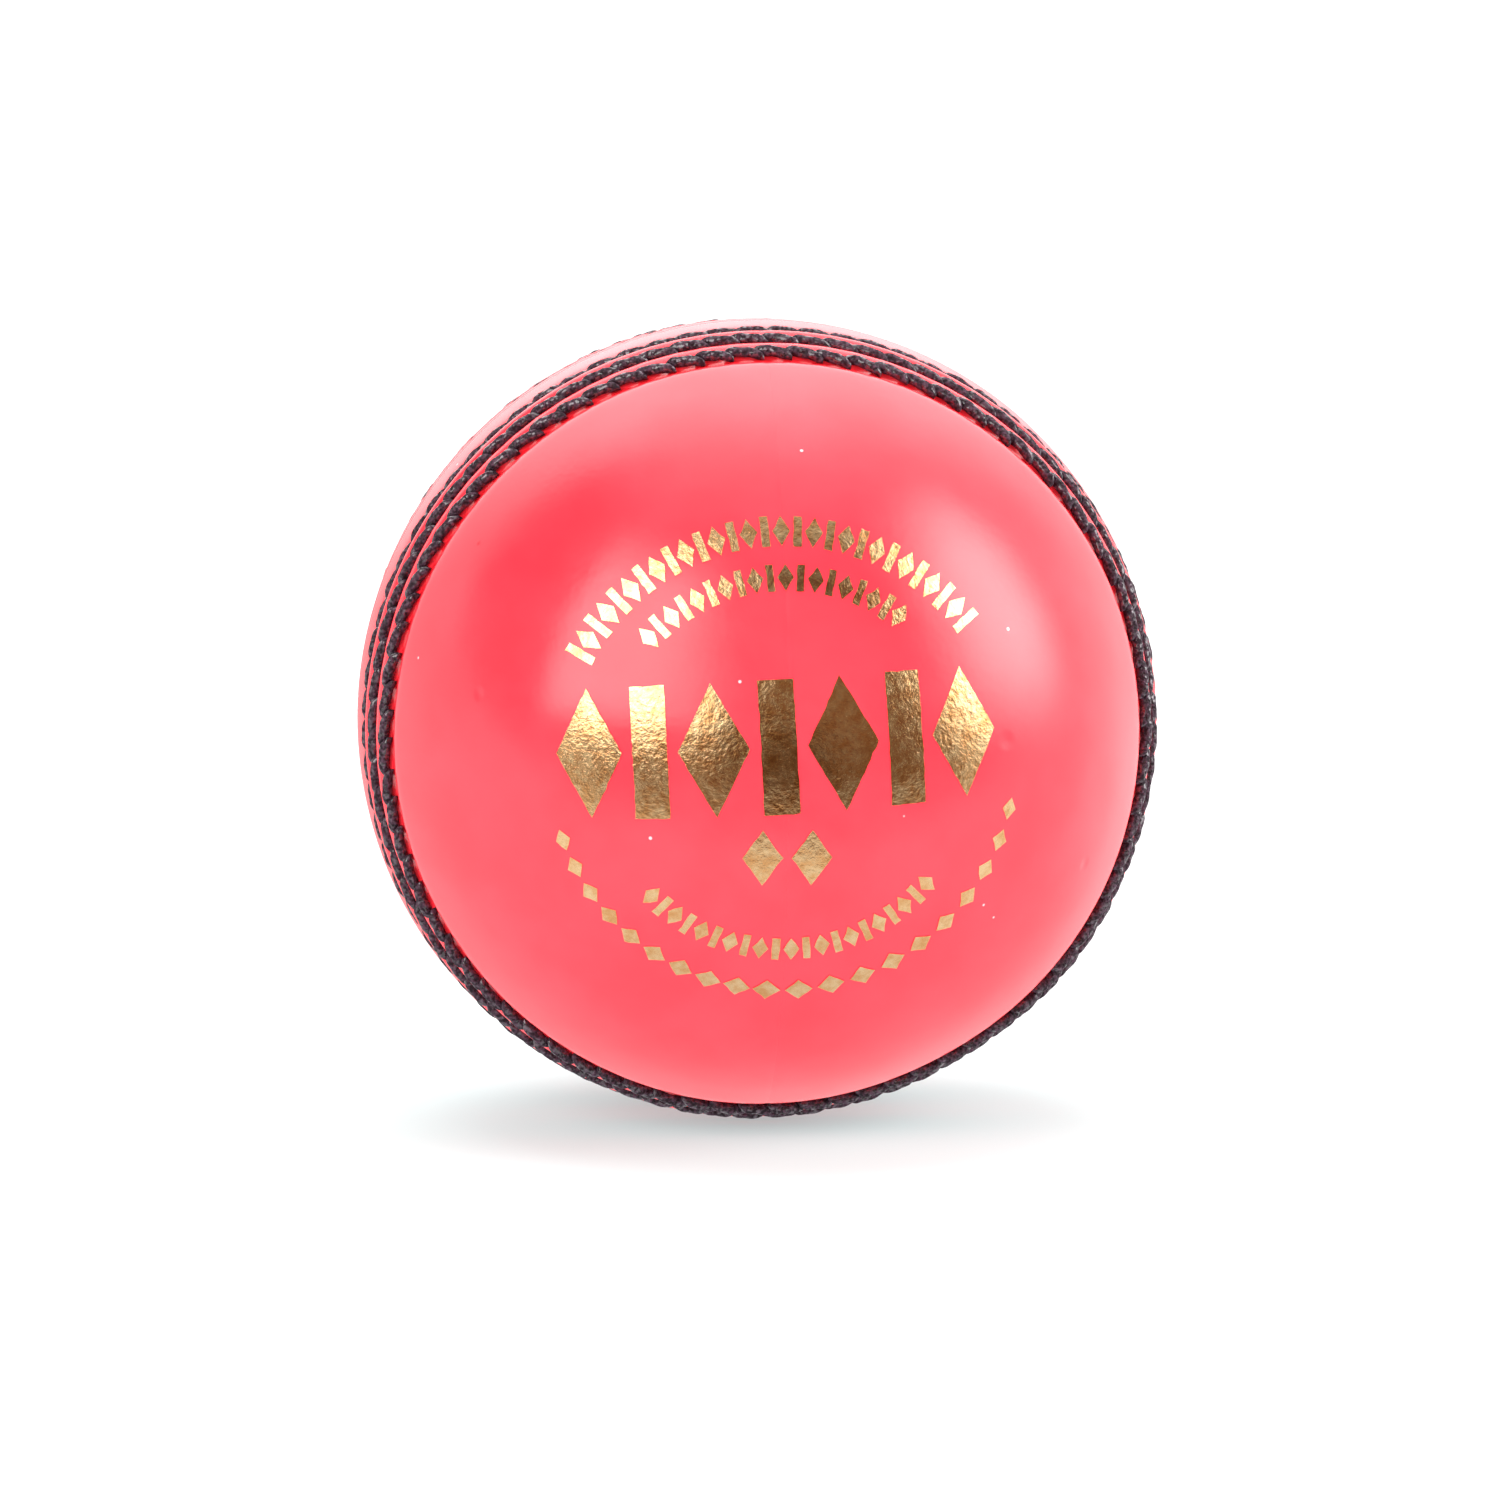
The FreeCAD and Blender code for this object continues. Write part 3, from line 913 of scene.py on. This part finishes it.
soft_box("left_box", azimuth=-50, elevation=25, width=0.7, brightness=1.5)
soft_box("right_box", azimuth=80, elevation=27, width=0.7, brightness=2.5)
soft_box("top_box", azimuth=15, elevation=105, width=0.9, brightness=5.5)
soft_box("front_fill", azimuth=5, elevation=20, width=1.2, brightness=2.0)

bpy.context.scene.world = bpy.data.worlds.new("white_room")
room = Finish(bpy.context.scene.world, "Background", Strength=1.0)
way = room.node("ShaderNodeTexCoord", output="Generated")
x, y, z = room.parts(way)
azimuth = math.degrees(1) * room.math("ARCTAN2", x, -1 * y)
elevation = math.degrees(1) * room.math("ARCSINE", z)


def window(left, right, low, high):
    """1 between two azimuths and two elevations in degrees, each a pair from none to full."""
    return (azimuth.step(*left) * (1 - azimuth.step(*right))
            * elevation.step(*low) * (1 - elevation.step(*high)))


# The dark side of the room begins at the table's near edge, which rises to either side as
# seen from the ball. The glows are the soft boxes and the bright room beyond them.
TABLE_EDGE_RISE = 0.0036           # degrees up for each square degree to the side
above_table = elevation - TABLE_EDGE_RISE * (azimuth - 5) ** 2
front = window((-122, -104), (62, 82), (-60, -50), (48, 84)) * above_table.step(-36, -20)
left_glow = 4.4 * window((-74, -62), (-36, -8), (2, 8), (38, 60))
right_glow = 6 * window((44, 74), (84, 106), (-8, 19), (36, 62))
low_right_glow = 0.6 * window((100, 114), (135, 170), (-30, -8), (8, 30))
high_back_glow = 1.6 * (0.71 * y + 0.71 * z).step(0.6, 1.0)
back_loss = 0.35 * y.step(0.8, 0.98)
glow = left_glow + right_glow + low_right_glow + high_back_glow - back_loss
glow_colour = room.node("ShaderNodeCombineXYZ", sockets={"X": glow, "Y": glow, "Z": glow})

clutter = room.grain(0.35, place=way).step(0.42, 0.7)
walls = room.blend(elevation.step(-80, -15), (0.72, 0.72, 0.76, 1), WHITE)
dark_room = room.blend(clutter, (0.045, 0.026, 0.018, 1), (0.3, 0.19, 0.13, 1))
unlit = room.blend(front, walls, dark_room)
reflected = room.node("ShaderNodeVectorMath", {"operation": "ADD"}, {0: unlit, 1: glow_colour})
looked_at = room.node("ShaderNodeLightPath", output="Is Camera Ray")
room.set(Color=room.blend(looked_at, reflected, WHITE))
